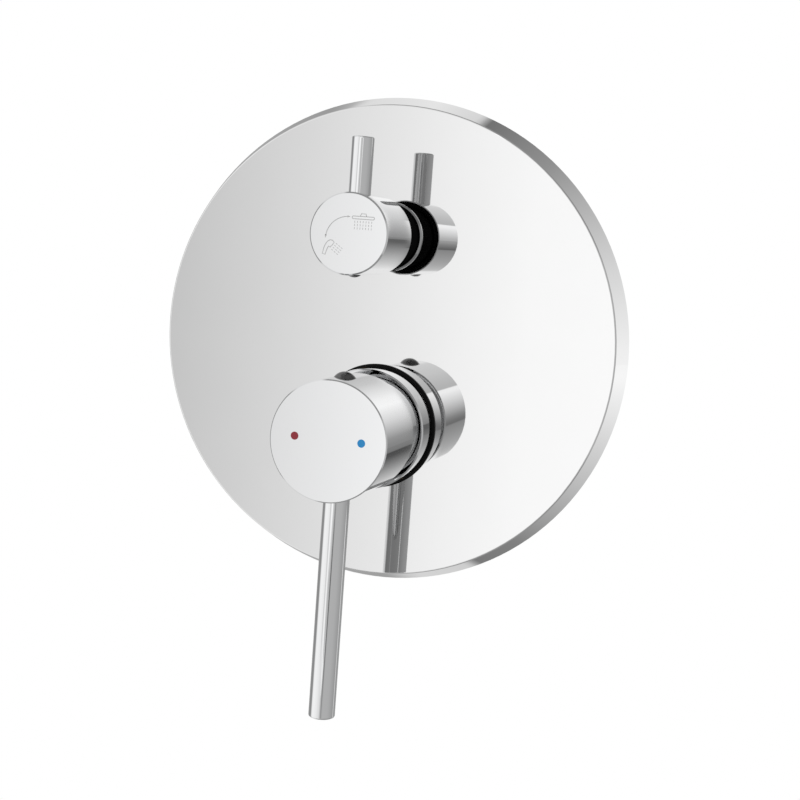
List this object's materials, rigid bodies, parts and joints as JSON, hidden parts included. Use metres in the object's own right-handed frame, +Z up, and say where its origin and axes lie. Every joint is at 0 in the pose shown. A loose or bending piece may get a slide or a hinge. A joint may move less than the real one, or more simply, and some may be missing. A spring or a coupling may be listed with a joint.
{
  "type": "concealed shower mixer valve",
  "caption": "Concealed shower mixer valve: brass body, round chromed cover plate, knob handle with a long lever, and a smaller diverter knob with a short lever.",
  "frame": {"origin": "on the handle's axis, in the plane where the back of the brass body's feet meets the wall behind it", "axes": "+X to the right as seen from the room, +Y into the wall, +Z up"},
  "size_m": [0.18, 0.106, 0.221],
  "materials": {
    "brass": "as cast, machined at the seats",
    "chrome": "polished",
    "steel": "bright drawn",
    "rubber": "matte",
    "white_plastic": "matte",
    "orange_plastic": "satin",
    "ceramic": "lapped",
    "foam": "closed-cell foam",
    "black_plastic": "satin",
    "grey_plastic": "satin",
    "red": "gloss",
    "blue": "gloss"
  },
  "bodies": {
    "valve": {"valve_body": "brass", "cartridge_base": "white_plastic", "base_seals": "rubber", "fixed_disc": "ceramic", "cartridge_housing": "white_plastic", "retaining_nut": "brass", "cover_sleeve": "chrome", "sleeve_seal": "rubber", "cover_plate": "chrome", "plate_grommet": "rubber", "wall_gasket": "foam", "diverter_housing": "brass", "housing_seals": "rubber", "diverter_sleeve": "black_plastic", "diverter_ring": "chrome"},
    "rotor": {"cartridge_rotor": "orange_plastic", "rotor_seal": "rubber", "stem_pin": "steel"},
    "discs": {"disc_carrier": "orange_plastic", "sliding_disc": "ceramic"},
    "handle": {"stem": "steel", "handle_knob": "chrome", "hot_dot": "red", "cold_dot": "blue", "handle_lever": "chrome", "handle_screw": "steel", "handle_plug": "grey_plastic"},
    "diverter": {"diverter_spindle": "brass", "spindle_seals": "rubber", "spindle_clip": "steel", "knob_insert": "black_plastic", "diverter_knob": "chrome", "diverter_lever": "chrome", "diverter_screw": "steel", "diverter_plug": "grey_plastic"}
  },
  "joints": [
    {"name": "handle_turn", "type": "hinge", "parent": "valve", "child": "rotor", "pos_m": [0, -0.0695, 0], "axis": [0, -1, 0], "range_deg": [-45, 45]},
    {"name": "handle_lift", "type": "hinge", "parent": "rotor", "child": "handle", "pos_m": [0, -0.0695, 0], "axis": [-1, 0, 0], "range_deg": [0, 20]},
    {"name": "disc_slide", "type": "slide", "parent": "rotor", "child": "discs", "axis": [0, 0, -1], "range_m": [0, 0.00445]},
    {"name": "diverter_turn", "type": "hinge", "parent": "valve", "child": "diverter", "pos_m": [0, 0, 0.07], "axis": [0, -1, 0], "range_deg": [0, 90]}
  ],
  "couplings": [
    {"joint": "disc_slide", "follows": "handle_lift", "m_per_rad": 0.012737}
  ]
}
